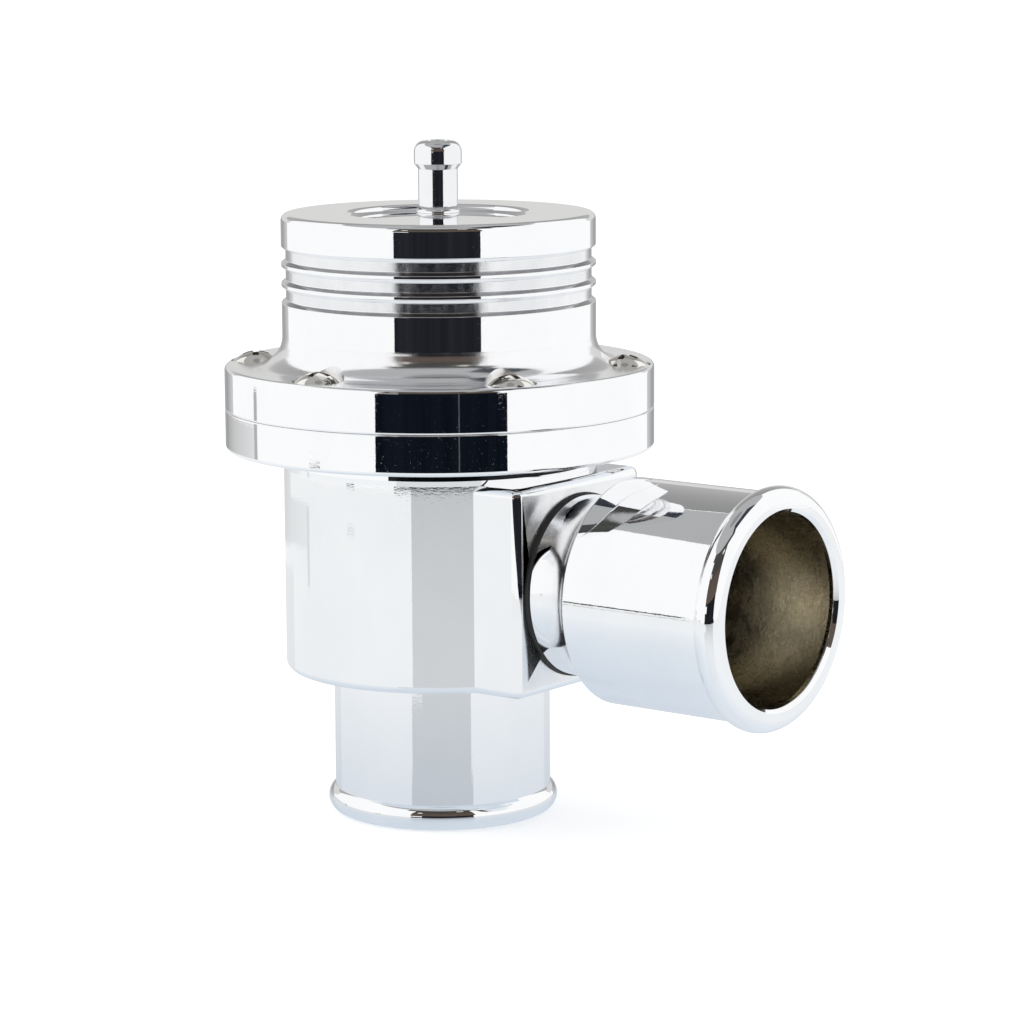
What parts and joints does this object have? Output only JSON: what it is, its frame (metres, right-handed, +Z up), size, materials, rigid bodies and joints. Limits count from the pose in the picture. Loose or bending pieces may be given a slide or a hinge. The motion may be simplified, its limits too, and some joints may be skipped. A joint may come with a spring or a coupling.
{
  "type": "blow off valve",
  "caption": "Recirculating blow off valve with an inlet hose spigot, a side outlet and a flanged, grooved cap whose vacuum nipple feeds a sprung diaphragm that lifts the poppet.",
  "frame": {"origin": "middle of the inlet spigot's rim, where the valve's axis meets the plane it stands on", "axes": "+Z up the valve's axis from the inlet to the vacuum nipple, +X along the outlet's axis towards its mouth, +Y completes a right-handed frame"},
  "size_m": [0.0719, 0.0492, 0.0775],
  "materials": {
    "plated_aluminium": "polished",
    "plated_nipple": "polished",
    "screw_steel": "satin",
    "zinc_steel": "satin",
    "stem_steel": "polished",
    "spring_steel": "satin",
    "turned_aluminium": "satin",
    "bush_bronze": "satin",
    "seal_rubber": "satin",
    "diaphragm_rubber": "matte"
  },
  "bodies": {
    "housing": {"valve_body": "plated_aluminium", "guide_plate": "turned_aluminium", "outlet_spigot": "plated_aluminium", "outlet_seal": "seal_rubber", "cap": "plated_aluminium", "vacuum_nipple": "plated_nipple", "flange_screws": "screw_steel", "guide_bush": "bush_bronze", "stem_seal": "seal_rubber", "bush_circlip": "zinc_steel", "spring_shim": "zinc_steel", "diaphragm": "diaphragm_rubber", "return_spring": "spring_steel"},
    "valve": {"valve_stem": "stem_steel", "poppet": "turned_aluminium", "poppet_seal": "seal_rubber", "seal_retainer": "turned_aluminium", "poppet_screw": "screw_steel", "lower_plate": "turned_aluminium", "spring_cup": "zinc_steel", "stem_washer": "zinc_steel", "stem_nut": "zinc_steel"}
  },
  "joints": [
    {"name": "valve_lift", "type": "slide", "parent": "housing", "child": "valve", "axis": [0, 0, 1], "range_m": [0, 0.0055], "stiffness_N_per_m": 2360, "springref_m": -0.006, "deforming": ["return_spring", "diaphragm"]}
  ]
}
